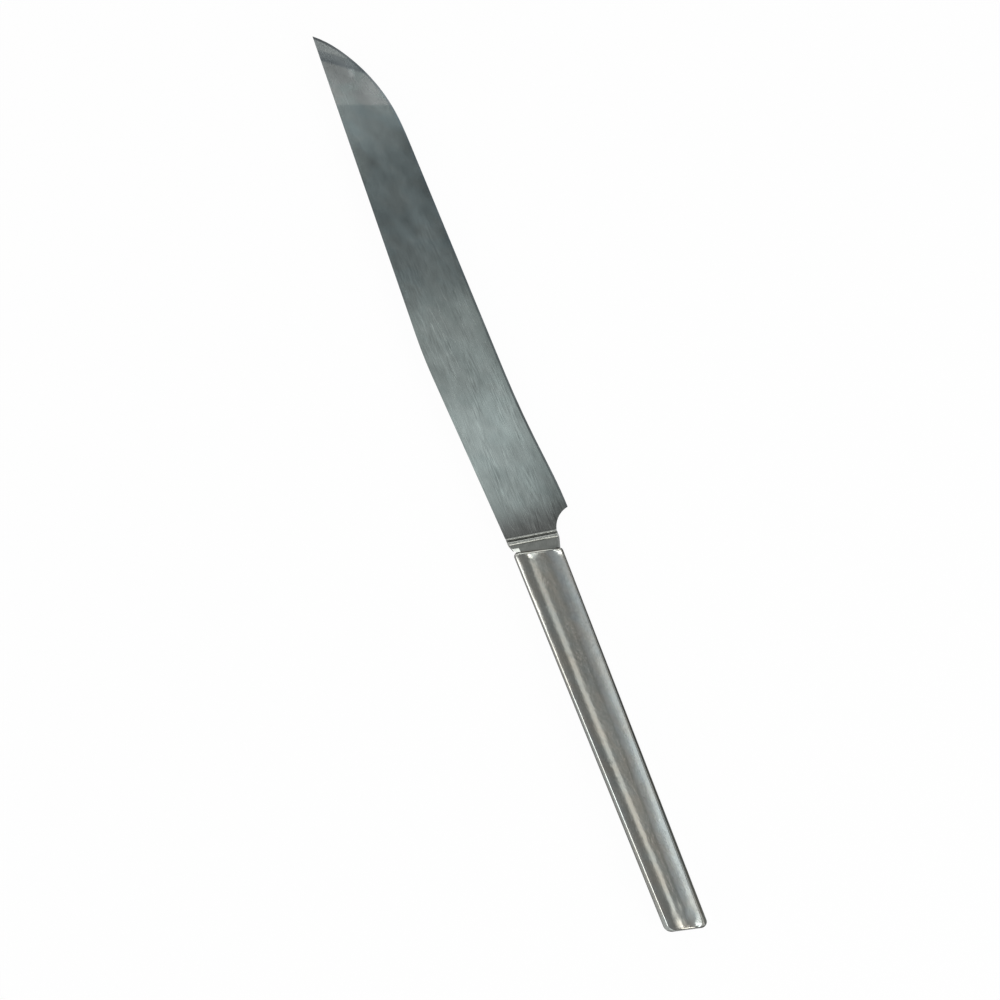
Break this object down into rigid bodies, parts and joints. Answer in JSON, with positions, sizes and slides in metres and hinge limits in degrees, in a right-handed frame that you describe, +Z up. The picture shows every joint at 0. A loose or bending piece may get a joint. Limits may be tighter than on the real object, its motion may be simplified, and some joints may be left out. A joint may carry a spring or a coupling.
{
  "type": "carving knife",
  "caption": "Stainless steel carving knife with a curved, fully ground blade, a ridged collar and a flat hollow handle, lying on its side.",
  "frame": {"origin": "under the middle of the knife's outline, on the surface that the knife lies on", "axes": "+X from the butt to the tip, +Y towards the spine, +Z up out of the knife's broad side"},
  "size_m": [0.3402, 0.0275, 0.01],
  "materials": {
    "blade_steel": "ground along the blade, cool grey, fine scratches",
    "collar_steel": "satin",
    "handle_steel": "satin, worn smooth, faint dents and stains",
    "braze": "filed flush and dull",
    "cement": "rough filling, hidden inside the handle"
  },
  "bodies": {
    "root": {"blade": "blade_steel", "bolster_collar": "collar_steel", "handle_shell_front": "handle_steel", "handle_shell_back": "handle_steel", "seam_braze": "braze", "mouth_braze": "braze", "tang_cement": "cement"}
  },
  "joints": []
}
